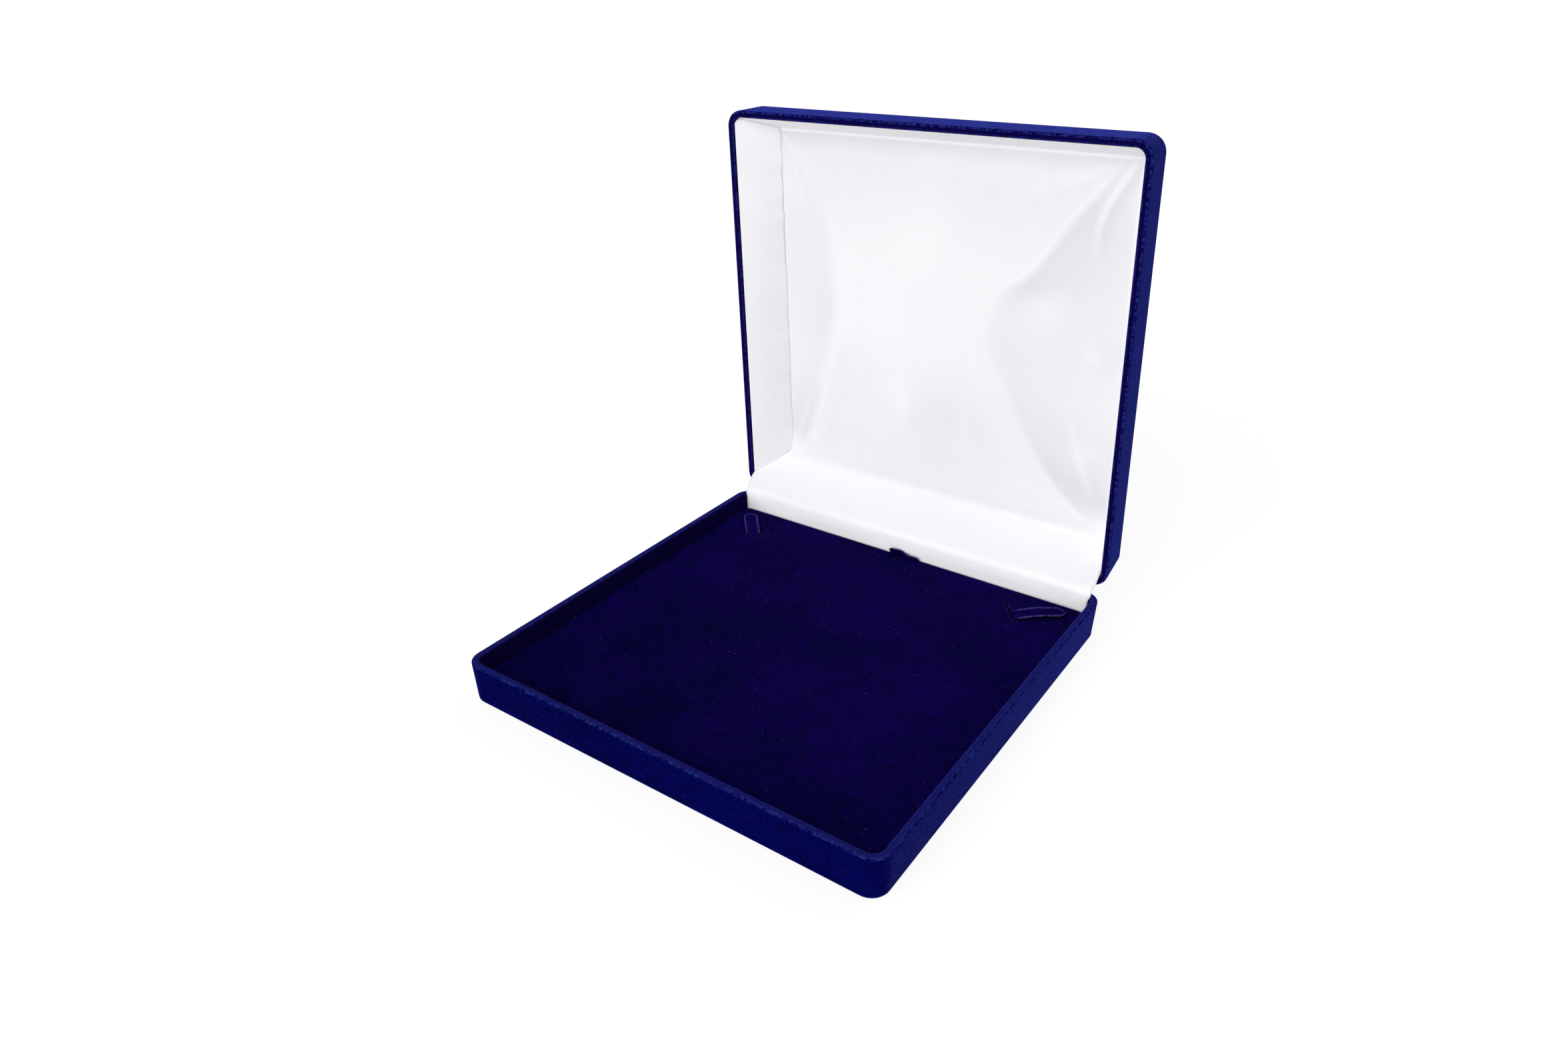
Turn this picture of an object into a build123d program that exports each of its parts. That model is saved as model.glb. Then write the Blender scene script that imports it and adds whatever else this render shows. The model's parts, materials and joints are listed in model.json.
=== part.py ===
from build123d import *
from math import cos, hypot, radians, sin
import os

# Millimetres. X runs along the hinge, the front is at -Y, the hinge is at the back (+Y) and Z is up.
# The origin is the centre of the underside. The lid is shaped closed and then swung open.

# Case shells
case_w = 190.0
case_d = 190.0
base_h = 18.0
lid_h = 18.6
wall_t = 3.0
floor_t = 2.0
wall_lean = 0.9
corner_r = 7.3
edge_r = 1.8
rim_r = 0.8
closed_gap = 0.4

# Hinge line and how far the lid stands open
lid_open = 86.5
pivot_out = 2.2
pivot_drop = 0.8

# Snap hinges
hinge_inset = 45.0
leaf_w = 24.0
leaf_t = 0.6
leaf_len = 11.0
leaf_sink = 0.4
pin_r = 0.8
pin_gap = 0.05
knuckle_t = 0.7
knuckle_count = 3
knuckle_gap = 0.2
notch_gap = 0.4
peg_r = 1.1
peg_gap = 0.1
peg_spread = 8.0
peg_proud = 0.2
spring_w = 8.0
spring_t = 0.3
spring_foot = 5.0
spring_bow = 1.25
spring_heel = -0.3
spring_gap = 0.05

# Necklace pad
pad_top_z = 10.8
pad_gap = 0.5
pad_back_gap = 1.7
pad_corner_r = 4.0
pad_edge_r = 1.6
velvet_t = 0.6
foam_t = 1.5
board_t = 1.5
velvet_hem = 0.3

# Chain tabs and their slits
tab_len = 22.4
tab_w = 7.0
tab_t = 0.7
tab_rest_gap = 0.15
tab_root_r = 0.45
slit_len = 14.0
slit_w = 1.4
slit_shift = 3.4
left_tab_side_in = 22.1
left_tab_back_in = 24.4
left_tab_turn = 130.0
right_tab_side_in = 24.6
right_tab_back_in = 20.4
right_tab_turn = 39.5

# Ribbon that lifts the pad
ribbon_w = 15.0
ribbon_t = 0.5
ribbon_x = 2.5
ribbon_stand = 3.0
ribbon_foot = 4.0
ribbon_knee = 1.3
ribbon_lean = 1.5

# Lid lining: the panel lies in the top of the lid, and four strips slope to it from the rim
border_left_w = 15.7
border_right_w = 3.2
border_front_w = 5.7
border_hinge_w = 15.7
crease_depth = 14.0
border_start = 1.0
lining_gap = 0.3
satin_t = 0.5
card_t = 1.0
card_cut = 3.0
panel_card_t = 1.2

# Folds of the satin panel, which is drawn to its four corners
fold_sections = 9
fold_left_bow = 31.0
fold_right_bow = 52.0
fold_end = 3.0
fold_rise = 5.0
fold_end_rise = 0.5
crown_rise = 0.8
slope_sag = 0.6

# Satin flap over the hinge
flap_t = 0.5
flap_foot_gap = 1.5
flap_back_gap = 0.5
flap_belly = 0.9
flap_belly_up = 3.4
flap_shoulder_up = 1.3
flap_shoulder_in = 0.9
flap_lift = 1.6
flap_side_gap = 2.6

# Places worked out from the sizes above
back_y = case_d / 2
pivot_y = back_y + pivot_out
pivot_z = base_h - pivot_drop
lid_rim_z = base_h + closed_gap
lid_top_z = lid_rim_z + lid_h
rim_in_x = case_w / 2 - wall_t
rim_in_y = case_d / 2 - wall_t
hinge_axis = Axis((0, pivot_y, pivot_z), (1, 0, 0))
knuckle_r = pin_r + knuckle_t
leaf_face_y = rim_in_y - wall_lean + leaf_sink + leaf_t
pad_w = case_w - 2 * (wall_t + wall_lean + pad_gap)
pad_front_y = -rim_in_y + wall_lean + pad_gap
pad_back_y = rim_in_y - wall_lean - pad_back_gap
pad_d = pad_back_y - pad_front_y
pad_mid_y = (pad_back_y + pad_front_y) / 2
foam_top_z = pad_top_z - velvet_t
board_top_z = foam_top_z - foam_t
hinge_x = case_w / 2 - hinge_inset
left_tab_root = (left_tab_side_in - pad_w / 2, pad_back_y - left_tab_back_in)
right_tab_root = (pad_w / 2 - right_tab_side_in, pad_back_y - right_tab_back_in)
lining_rim_x = rim_in_x - lining_gap
lining_rim_y = rim_in_y - lining_gap
crease_left = border_left_w - lining_rim_x
crease_right = lining_rim_x - border_right_w
crease_front = border_front_w - lining_rim_y
crease_hinge = lining_rim_y - border_hinge_w


def swing(shape):
    """The lid's piece, turned from closed to open."""
    return shape.rotate(hinge_axis, -lid_open)


def opened(y, z):
    """Where a point of the closed lid lies once the lid is open."""
    c, s = cos(radians(-lid_open)), sin(radians(-lid_open))
    dy, dz = y - pivot_y, z - pivot_z
    return (pivot_y + dy * c - dz * s, pivot_z + dy * s + dz * c)


def plate(width, depth, z0, z1, radius, y=0.0):
    """A flat plate with round plan corners."""
    outline = Pos(0, y, z0) * RectangleRounded(width, depth, radius)
    return extrude(outline, z1 - z0)


def box(x0, x1, y0, y1, z0, z1):
    """A block between two corners."""
    block = Box(x1 - x0, y1 - y0, z1 - z0)
    return Pos((x0 + x1) / 2, (y0 + y1) / 2, (z0 + z1) / 2) * block


def leaning_block(z0, z1, inset, lean_from, lean_to, radius):
    """A block whose four walls lean, given how far they stand in from the rim at each end."""
    width, depth = case_w - 2 * (inset + lean_from), case_d - 2 * (inset + lean_from)
    spread = lean_from - lean_to
    block = Wedge(width, z1 - z0, depth, -spread, -spread, width + spread, depth + spread)
    block = Pos(0, 0, (z0 + z1) / 2) * (Rot(90, 0, 0) * block)
    corners = block.edges().filter_by(lambda edge: abs(edge.tangent_at(0.5).Z) > 0.5)
    return fillet(corners, radius)


def tray(height, skin):
    """One flocked shell standing on its closed side, with its rim up."""
    body = leaning_block(0, height, 0, wall_lean, 0, corner_r)
    body = fillet(body.faces().sort_by(Axis.Z)[0].edges(), edge_r)
    lean_at_floor = wall_lean * (1 - skin / height)
    body -= leaning_block(skin, height, wall_t, lean_at_floor, 0, corner_r - wall_t)
    return fillet(body.faces().sort_by(Axis.Z)[-1].edges(), rim_r)


def hinge_places():
    """The side of each snap hinge and its place along the hinge line."""
    return (("left", -hinge_x), ("right", hinge_x))


def seat(z0, z1, notch_z0, notch_z1, x):
    """The recess for a hinge leaf in a back wall, with the notch in the rim that lets it out."""
    half = leaf_w / 2 + notch_gap
    recess = box(x - half, x + half, rim_in_y - wall_lean - 1, leaf_face_y, z0, z1)
    notch = box(x - half, x + half, rim_in_y - wall_lean - 1, back_y + 1, notch_z0, notch_z1)
    return recess + notch


def pegs(x, z):
    """The two moulded pegs that hold a hinge leaf in its recess."""
    depth = leaf_t + peg_proud
    peg = Rot(90, 0, 0) * Cylinder(peg_r, depth + 1, align=(Align.CENTER, Align.CENTER, Align.MIN))
    return [Pos(x + side * peg_spread, leaf_face_y + 1, z) * peg for side in (-1, 1)]


def base_shell():
    """The flocked tray, with recesses and pegs for the two hinges in its back wall."""
    body = tray(base_h, floor_t)
    strip_z = pivot_z - knuckle_r
    for _, x in hinge_places():
        body -= seat(strip_z + leaf_t - leaf_len, base_h + 1, strip_z, base_h + 1, x)
        for peg in pegs(x, base_leaf_peg_z()):
            body += peg
    return body


def lid_shell():
    """The flocked lid, a tray turned over, with the same recesses along its back rim."""
    body = Pos(0, 0, lid_top_z) * (Rot(180, 0, 0) * tray(lid_h, floor_t))
    strip_z = pivot_z + knuckle_r
    for _, x in hinge_places():
        body -= seat(lid_rim_z - 1, strip_z - leaf_t + leaf_len, lid_rim_z - 1, strip_z, x)
        for peg in pegs(x, lid_leaf_peg_z()):
            body += peg
    return body


def base_leaf_peg_z():
    """Height of the pegs in the base: half way down the leaf."""
    return pivot_z - knuckle_r + leaf_t - leaf_len / 2


def lid_leaf_peg_z():
    """Height of the pegs in the closed lid: half way up the leaf."""
    return pivot_z + knuckle_r - leaf_t + leaf_len / 2


def leaf(x, side, bore_r):
    """A steel hinge leaf: a plate in the wall, a tongue out through the rim and rolled knuckles.

    side is -1 for the base's leaf, which hangs down, and 1 for the lid's, which stands up."""
    tongue_z = pivot_z + side * knuckle_r
    x0, x1 = x - leaf_w / 2, x + leaf_w / 2
    inner, outer = sorted((tongue_z, tongue_z - side * leaf_t))
    tongue = box(x0, x1, leaf_face_y - leaf_t, pivot_y, inner, outer)
    end_z = tongue_z - side * leaf_t + side * leaf_len
    low, high = sorted((tongue_z - side * leaf_t, end_z))
    body = tongue + box(x0, x1, leaf_face_y - leaf_t, leaf_face_y, low, high)
    body += Pos(x, pivot_y, pivot_z) * (Rot(0, 90, 0) * Cylinder(knuckle_r, leaf_w))
    body -= Pos(x, pivot_y, pivot_z) * (Rot(0, 90, 0) * Cylinder(bore_r, leaf_w))
    pitch = leaf_w / knuckle_count
    for index in range(knuckle_count):
        ours = (index % 2 == 0) == (side < 0)
        if not ours:
            middle = x0 + (index + 0.5) * pitch
            half = pitch / 2 + knuckle_gap / 2
            body -= box(
                middle - half, middle + half, back_y + knuckle_gap,
                pivot_y + knuckle_r + 1, pivot_z - knuckle_r - 1, pivot_z + knuckle_r + 1,
            )
    hole = Rot(90, 0, 0) * Cylinder(peg_r + peg_gap, 6 * leaf_t)
    peg_z = base_leaf_peg_z() if side < 0 else lid_leaf_peg_z()
    for step in (-1, 1):
        body -= Pos(x + step * peg_spread, leaf_face_y - leaf_t / 2, peg_z) * hole
    return body


def hinge_pin(x):
    """The steel pin through both leaves' knuckles, held by the base's."""
    return Pos(x, pivot_y, pivot_z) * (Rot(0, 90, 0) * Cylinder(pin_r, leaf_w))


def bow_spring(x):
    """The bowed strip that bridges the two leaves and snaps the lid open or shut."""
    base_y = leaf_face_y - leaf_t - spring_t
    foot_z = pivot_z - knuckle_r + leaf_t
    low = (base_y, foot_z - spring_foot)
    bend = (base_y, foot_z)
    lid_y, lid_z = base_y - spring_gap, pivot_z + knuckle_r
    landing = opened(lid_y, lid_z + spring_heel)
    tail = opened(lid_y, lid_z + spring_foot)
    chord_y = (bend[0] + landing[0]) / 2 - spring_bow
    chord_z = (bend[1] + landing[1]) / 2 + spring_bow
    outer = [Line(low, bend), ThreePointArc(bend, (chord_y, chord_z), landing), Line(landing, tail)]
    face = make_face(offset(Wire(outer), amount=spring_t, side=Side.RIGHT))
    return standing_strip(face, x - spring_w / 2, x + spring_w / 2)


def standing_strip(face, x0, x1):
    """A strip of constant section: its section is drawn as (y, z) and drawn out along X."""
    section = Plane(origin=(x0, 0, 0), x_dir=(0, 1, 0), z_dir=(1, 0, 0)) * face
    return extrude(section, x1 - x0)


def slit(root, turn, z0, z1):
    """The narrow cut under a tab's root, square to the tab."""
    cut = Box(slit_w, slit_len, z1 - z0)
    towards_back = 1 if sin(radians(turn)) * cos(radians(turn)) > 0 else -1
    along = Pos(0, towards_back * slit_shift, 0) * cut
    return Pos(root[0], root[1], (z0 + z1) / 2) * (Rot(0, 0, turn) * along)


def slits(z0, z1):
    """Both tabs' cuts through one layer of the pad."""
    left = slit(left_tab_root, left_tab_turn, z0 - 1, z1 + 1)
    right = slit(right_tab_root, right_tab_turn, z0 - 1, z1 + 1)
    return [left, right]


def pad_velvet():
    """The velvet cover, drawn over the pad's top and down its four sides."""
    skin = plate(pad_w, pad_d, floor_t + velvet_hem, pad_top_z, pad_corner_r, pad_mid_y)
    skin = fillet(skin.faces().sort_by(Axis.Z)[-1].edges(), pad_edge_r)
    inside = plate(
        pad_w - 2 * velvet_t, pad_d - 2 * velvet_t, floor_t, foam_top_z,
        pad_corner_r - velvet_t, pad_mid_y,
    )
    skin -= chamfer(inside.faces().sort_by(Axis.Z)[-1].edges(), pad_edge_r - velvet_t)
    return skin - slits(foam_top_z, pad_top_z)


def pad_foam():
    """The thin foam sheet between the board and the velvet."""
    sheet = plate(
        pad_w - 2 * velvet_t, pad_d - 2 * velvet_t, board_top_z, foam_top_z,
        pad_corner_r - velvet_t, pad_mid_y,
    )
    sheet = chamfer(sheet.faces().sort_by(Axis.Z)[-1].edges(), pad_edge_r - velvet_t)
    return sheet - slits(board_top_z, foam_top_z)


def pad_board():
    """The stiff card platform, folded down at its edges so that it stands on the floor."""
    width, depth = pad_w - 2 * velvet_t, pad_d - 2 * velvet_t
    radius = pad_corner_r - velvet_t
    board = plate(width, depth, floor_t, board_top_z, radius, pad_mid_y)
    board -= plate(
        width - 2 * board_t, depth - 2 * board_t, floor_t, board_top_z - board_t,
        radius - board_t, pad_mid_y,
    )
    return board - slits(board_top_z - board_t, board_top_z)


def tab_pivot(root):
    """The fold line of a tab, just over the velvet."""
    return (root[0], root[1], pad_top_z + tab_rest_gap + tab_t / 2)


def chain_tab(root, turn):
    """A velvet tongue that lies on the pad and lifts at its root, where it goes into the slit."""
    straight = tab_len - tab_w / 2
    outline = Pos(straight / 2, 0) * Rectangle(straight, tab_w) + Pos(straight, 0) * Circle(tab_w / 2)
    tongue = Pos(0, 0, -tab_t / 2) * extrude(outline, tab_t)
    tongue += Rot(90, 0, 0) * Cylinder(tab_root_r, tab_w)
    return Pos(*tab_pivot(root)) * (Rot(0, 0, turn) * tongue)


def ribbon_pull():
    """The short ribbon that stands at the pad's back edge, leans over it and lifts it out."""
    back = pad_back_y + ribbon_t
    foot = (back, pad_top_z - ribbon_foot)
    knee = (back, pad_top_z - ribbon_knee)
    tip = (back - ribbon_lean, pad_top_z + ribbon_stand)
    middle = (back - ribbon_lean / 3, (knee[1] + tip[1]) / 2)
    face = make_face(
        offset(Wire([Line(foot, knee), ThreePointArc(knee, middle, tip)]), amount=ribbon_t, side=Side.LEFT)
    )
    return standing_strip(face, ribbon_x - ribbon_w / 2, ribbon_x + ribbon_w / 2)


def lining_rect(depth, back):
    """The lining's four sides at one depth in the lid, moved back by the layers in front."""
    share = (depth - border_start) / (crease_depth - border_start)
    sides = []
    for rim, crease in (
        (-lining_rim_x, crease_left), (lining_rim_x, crease_right),
        (-lining_rim_y, crease_front), (lining_rim_y, crease_hinge),
    ):
        run = crease - rim
        slant = hypot(run, crease_depth - border_start) / (crease_depth - border_start)
        outward = 1 if rim > 0 else -1
        sides.append(rim + run * share + outward * back * slant)
    return sides


def lining_quad(side, depths, back):
    """Four corners of one strip: its rim edge and its crease, moved back by the layers in front."""
    corners = []
    for depth, order in zip(depths, (1, -1)):
        left, right, front, rear = lining_rect(depth, back)
        ends = {
            "left": ((left, front), (left, rear)), "right": ((right, front), (right, rear)),
            "front": ((left, front), (right, front)), "hinge": ((left, rear), (right, rear)),
        }[side][::order]
        corners += [(x, y, lid_rim_z + depth) for x, y in ends]
    return make_face(Polyline(*corners, close=True))


def lining_room():
    """The inside of the lid, a little clear of its walls."""
    deep = lid_top_z - floor_t
    lean = wall_lean * (1 - floor_t / lid_h)
    return leaning_block(
        lid_rim_z, deep, wall_t + lining_gap / 2, 0, lean, corner_r - wall_t
    )


def lining_strip(side, front, back, start):
    """One sloping strip of the lining, mitred to its neighbours, between two of its layers."""
    depths = (start, crease_depth)
    layer = loft([lining_quad(side, depths, front), lining_quad(side, depths, back)], ruled=True)
    return lining_room() & layer


def panel_fold(t):
    """The satin panel's two ridge lines and their height at t, from -1 in front to 1 at the hinge."""
    bow = 1 - t * t
    left = crease_left + fold_end + fold_left_bow * bow
    right = crease_right - fold_end - fold_right_bow * bow
    return left, right, fold_end_rise + fold_rise * bow


def panel_row(t, inset):
    """Points across the panel's front at t: an edge, a slope, a crowned middle, a slope and an edge."""
    y = (crease_front + crease_hinge) / 2 + t * ((crease_hinge - crease_front) / 2 - inset)
    left, right, rise = panel_fold(t)
    x0, x1 = crease_left + inset, crease_right - inset
    edge = lid_rim_z + crease_depth + inset
    ridge = edge - rise
    low_slope = edge - rise / 2 + slope_sag * rise / fold_rise
    return [
        Vector(x0, y, edge), Vector((x0 + left) / 2, y, low_slope), Vector(left, y, ridge),
        Vector((left + right) / 2, y, ridge - crown_rise), Vector(right, y, ridge),
        Vector((x1 + right) / 2, y, low_slope), Vector(x1, y, edge),
    ]


def panel_body(inset):
    """The padded panel: a flat back, straight edges and a front folded between its rows of points."""
    steps = [2 * index / (fold_sections - 1) - 1 for index in range(fold_sections)]
    rows = [panel_row(t, inset) for t in steps]
    back = Vector(0, 0, lid_top_z - floor_t - panel_card_t)
    faces = []
    for near, far in zip(rows, rows[1:]):
        for a, b, c, d in zip(near, near[1:], far[1:], far):
            corners = ((a, b, c), (a, c, d)) if b.Z > a.Z else ((a, b, d), (b, c, d))
            faces += [make_face(Polyline(*three, close=True)) for three in corners]
    ends = [(row[0].X, row[0].Y) for row in (rows[0], rows[-1])]
    ends += [(row[-1].X, row[-1].Y) for row in (rows[-1], rows[0])]
    base = [Vector(x, y, back.Z) for x, y in ends]
    faces.append(make_face(Polyline(*base, close=True)))
    faces.append(make_face(Polyline(base[0], base[3], *reversed(rows[0]), close=True)))
    faces.append(make_face(Polyline(base[1], base[2], *reversed(rows[-1]), close=True)))
    for side, (first, last) in ((0, (0, 1)), (-1, (3, 2))):
        edge = [row[side] for row in rows]
        faces.append(make_face(Polyline(base[first], *edge, base[last], close=True)))
    return Solid(Shell(faces))


def panel_card():
    """The card that the padded satin panel is made on, glued into the top of the lid."""
    return box(
        crease_left, crease_right, crease_front, crease_hinge,
        lid_top_z - floor_t - panel_card_t, lid_top_z - floor_t,
    )


def hinge_flap():
    """The satin flap from behind the pad, over both back rims, to the lining in the lid."""
    foot_y = rim_in_y - wall_lean - flap_back_gap - flap_t
    foot = (foot_y, floor_t + flap_foot_gap)
    knee = (foot_y, pad_top_z)
    belly = (foot_y - flap_belly, pad_top_z + flap_belly_up)
    shoulder = (foot_y + flap_shoulder_in, base_h + flap_shoulder_up)
    start_depth = border_start + flap_lift
    end = opened(lining_rect(start_depth, 0)[3], lid_rim_z + start_depth)
    crown_y = (shoulder[0] + end[0]) / 2
    crown_z = (shoulder[1] + end[1]) / 2 + flap_lift
    outline = [
        Line(foot, knee), ThreePointArc(knee, belly, shoulder),
        ThreePointArc(shoulder, (crown_y, crown_z), end),
    ]
    face = make_face(offset(Wire(outline), amount=flap_t, side=Side.RIGHT))
    half = rim_in_x - wall_lean - flap_side_gap
    return standing_strip(face, -half, half)


def main():
    """Makes every piece and writes one file for each."""
    pieces = {
        "base_shell": base_shell(),
        "pad_board": pad_board(),
        "pad_foam": pad_foam(),
        "pad_velvet": pad_velvet(),
        "ribbon_pull": ribbon_pull(),
        "tab_left": chain_tab(left_tab_root, left_tab_turn),
        "tab_right": chain_tab(right_tab_root, right_tab_turn),
        "lid_shell": swing(lid_shell()),
        "panel_card": swing(panel_card()),
        "hinge_flap": hinge_flap(),
    }
    wadding = panel_body(satin_t)
    pieces["panel_wadding"] = swing(wadding)
    pieces["panel_satin"] = swing(panel_body(0) - wadding)
    flap_end = border_start + flap_lift
    for side in ("left", "right", "front", "hinge"):
        start = flap_end if side == "hinge" else border_start
        satin = lining_strip(side, 0, satin_t, start)
        card = lining_strip(side, satin_t, satin_t + card_t, start + card_cut)
        pieces["border_satin_" + side] = swing(satin)
        pieces["border_card_" + side] = swing(card)
    for side, x in hinge_places():
        pieces["hinge_base_leaf_" + side] = leaf(x, -1, pin_r)
        pieces["hinge_lid_leaf_" + side] = swing(leaf(x, 1, pin_r + pin_gap))
        pieces["hinge_pin_" + side] = hinge_pin(x)
        pieces["hinge_spring_" + side] = bow_spring(x)
    os.makedirs("parts", exist_ok=True)
    for name, shape in pieces.items():
        export_step(shape, "parts/" + name + ".step")


main()
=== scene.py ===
import json
import math

import bpy
import numpy as np
from mathutils import Matrix, Vector


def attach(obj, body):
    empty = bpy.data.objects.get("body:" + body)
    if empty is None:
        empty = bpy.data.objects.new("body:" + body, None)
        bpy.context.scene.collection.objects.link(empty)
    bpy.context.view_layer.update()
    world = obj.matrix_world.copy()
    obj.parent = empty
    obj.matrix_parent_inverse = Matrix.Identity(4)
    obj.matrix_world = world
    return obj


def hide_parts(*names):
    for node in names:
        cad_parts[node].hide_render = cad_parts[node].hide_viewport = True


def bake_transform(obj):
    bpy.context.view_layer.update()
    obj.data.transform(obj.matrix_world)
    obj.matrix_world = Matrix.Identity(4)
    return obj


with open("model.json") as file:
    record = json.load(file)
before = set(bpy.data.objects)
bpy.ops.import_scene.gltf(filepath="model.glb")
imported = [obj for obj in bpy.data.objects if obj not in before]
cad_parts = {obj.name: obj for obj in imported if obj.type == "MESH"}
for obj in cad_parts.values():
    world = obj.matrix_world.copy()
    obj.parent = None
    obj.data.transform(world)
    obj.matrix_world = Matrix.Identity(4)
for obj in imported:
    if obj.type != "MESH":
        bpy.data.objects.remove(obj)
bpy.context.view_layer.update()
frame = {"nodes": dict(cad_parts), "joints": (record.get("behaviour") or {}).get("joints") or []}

# Lengths are in millimetres, as in the CAD, and are turned into metres where a mesh or material is made.
# X runs along the hinge, the front is at -Y and Z is up. The lid's lining is shaped with the lid shut.
MM = 0.001

# Shells: half the case's width, the corners, the base's rim and the shut lid's rim
HALF = 95.0
CORNER_R = 7.3
BASE_H = 18.0
RIM_Z = 18.4

# The hinge line and how far the lid stands open
joints = {joint["name"]: joint for joint in frame["joints"]}
PIVOT_Y, PIVOT_Z = (value / MM for value in joints["lid_hinge"]["pos_m"][1:])
LID_OPEN = math.radians(joints["lid_hinge"]["range_deg"][1])

# The lid's lining: its outer edge, its strips' depths, the creases at the panel, and the panel's back
LINING_RIM = 91.7
LINING_START = 1.0
LINING_SPAN = 180.0
CREASE_DEPTH = 14.0
CREASE_LEFT = -76.0
CREASE_RIGHT = 88.5
CREASE_FRONT = -86.0
CREASE_HINGE = 76.0
PANEL_BACK = 33.8
SATIN_T = 0.5


# Colours, in linear light
def rgb(red, green, blue):
    return (red, green, blue, 1.0)


WHITE = rgb(1.0, 1.0, 1.0)
FLOCK_DEEP = rgb(0.0002, 0.0003, 0.026)
FLOCK_BRIGHT = rgb(0.0009, 0.0013, 0.070)
FLOCK_INSIDE = rgb(0.0052, 0.0024, 0.045)
FLOCK_WEAR_AND_HIGHLIGHT = rgb(0.022, 0.030, 0.240)
FLOCK_SHEEN = rgb(0.10, 0.135, 1.0)
# The rims' top faces: painted sheen on the base's, painted shade on the lid's
BASE_RIM_PAINTED_SHEEN = rgb(0.012, 0.014, 0.150)
LID_RIM_PAINTED_SHADE = rgb(0.0030, 0.0012, 0.042)
VELVET_DEEP = rgb(0.0009, 0.0003, 0.019)
VELVET_BRIGHT = rgb(0.0052, 0.0013, 0.084)
VELVET_WEAR_AND_HIGHLIGHT = rgb(0.078, 0.062, 0.270)
VELVET_PAINTED_SHADOW = rgb(0.0006, 0.0003, 0.008)
VELVET_SHEEN = rgb(0.12, 0.08, 1.0)
PILE_FIBRE = rgb(0.022, 0.026, 0.20)
PILE_DUST = rgb(0.26, 0.24, 0.46)
SATIN_DULL = rgb(0.932, 0.928, 0.950)
SATIN_CLEAR = rgb(0.952, 0.948, 0.966)
SATIN_THREAD = rgb(0.66, 0.66, 0.70)
SATIN_SHADE = rgb(0.0, 0.0, 0.03)
STEEL_CLEAR = rgb(0.60, 0.60, 0.61)
STEEL_SPOT = rgb(0.40, 0.39, 0.38)
CARD_DARK = rgb(0.42, 0.37, 0.29)
CARD_PALE = rgb(0.56, 0.51, 0.43)
FLOOR_DARK = rgb(0.21, 0.21, 0.21)
FLOOR_PALE = rgb(0.23, 0.23, 0.23)

# The share of cells with a speck of lint, and a rim's rubbed lines, which also carry a painted highlight, as
# place inward, half width and strength
FLOCK_LINT = 0.012
VELVET_LINT = 0.13
RUBBED_AND_LIT_LINES = [(0.4, 0.9, 0.80), (2.6, 0.6, 0.60)]


# Formulas, lines and grids
def opened(points):
    """Points of the closed lid in millimetres, to metres with the lid open."""
    p = np.array(points, float)
    c, s = math.cos(LID_OPEN), -math.sin(LID_OPEN)
    y, z = p[..., 1] - PIVOT_Y, p[..., 2] - PIVOT_Z
    out = p.copy()
    out[..., 1] = PIVOT_Y + y * c - z * s
    out[..., 2] = PIVOT_Z + y * s + z * c
    return out * MM


def smoothstep(a, b, x):
    """0 up to a and 1 from b, with a smooth change between them."""
    t = np.clip((x - a) / (b - a), 0.0, 1.0)
    return t * t * (3.0 - 2.0 * t)


def bell(distance, width):
    """1 at no distance, falling to nearly 0 at twice the width."""
    return np.exp(-(distance / width) ** 2)


def smooth_min(values, k):
    """The least of several fields, with its corners rounded over about k."""
    stack = np.stack(values)
    return -k * np.log(np.exp(-stack / k).sum(0))


def smooth_max(values, k):
    return -smooth_min([-value for value in values], k)


def line_distance(x, y, points):
    """Distance of a grid of points from a line of points, and how far along it the nearest place is."""
    best = np.full(x.shape, np.inf)
    along = np.zeros(x.shape)
    p = np.array(points, float)
    lengths = np.linalg.norm(np.diff(p, axis=0), axis=1)
    total, done = lengths.sum(), 0.0
    for a, b, length in zip(p, p[1:], lengths):
        d = (b - a) / length
        t = np.clip((x - a[0]) * d[0] + (y - a[1]) * d[1], 0, length)
        away = np.hypot(x - a[0] - d[0] * t, y - a[1] - d[1] * t)
        near = away < best
        best[near] = away[near]
        along[near] = ((done + t) / total)[near]
        done += length
    return best, along


def smooth_line(points, count=40):
    """A smooth line through a few points."""
    p = np.array(points, float)
    ext = np.vstack([2 * p[0] - p[1], p, 2 * p[-1] - p[-2]])
    out = []
    for value in np.linspace(0, 1, count):
        i = min(int(value * (len(p) - 1)), len(p) - 2)
        u = value * (len(p) - 1) - i
        a, b, c, d = ext[i:i + 4]
        out.append(0.5 * (2 * b + (c - a) * u + (2 * a - 5 * b + 4 * c - d) * u ** 2
                          + (3 * b - a - 3 * c + d) * u ** 3))
    return np.array(out)


def ripples(x, y, seed, waves, length, height):
    """A sum of gentle waves in seeded directions."""
    rng = np.random.default_rng(seed)
    out = np.zeros(x.shape)
    for _ in range(waves):
        angle, phase = rng.uniform(0, math.pi), rng.uniform(0, 2 * math.pi)
        wavelength = length * rng.uniform(0.7, 1.5)
        out += np.sin((x * math.cos(angle) + y * math.sin(angle)) * 2 * math.pi / wavelength + phase)
    return out * height / math.sqrt(waves)


def grid_lines(low, high, step, fine, close):
    """Places from low to high a step apart, and a fine step apart in the close ranges."""
    out = [low]
    while out[-1] < high:
        at = out[-1] + 1e-6
        out.append(out[-1] + (fine if any(a <= at < b for a, b in close) else step))
    out = np.array(out)
    return low + (out - low) * (high - low) / (out[-1] - low)


def unit_grid(columns, rows):
    """Two grids from 0 to 1, the first along the columns and the second along the rows."""
    return np.meshgrid(np.linspace(0, 1, columns), np.linspace(0, 1, rows))


def held_at_ends(u, reach):
    """0 at both ends of a strip as long as the lining, and nearly 1 from a few times the reach inward."""
    return 1 - np.exp(-np.minimum(u, 1 - u) * LINING_SPAN / reach)


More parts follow.
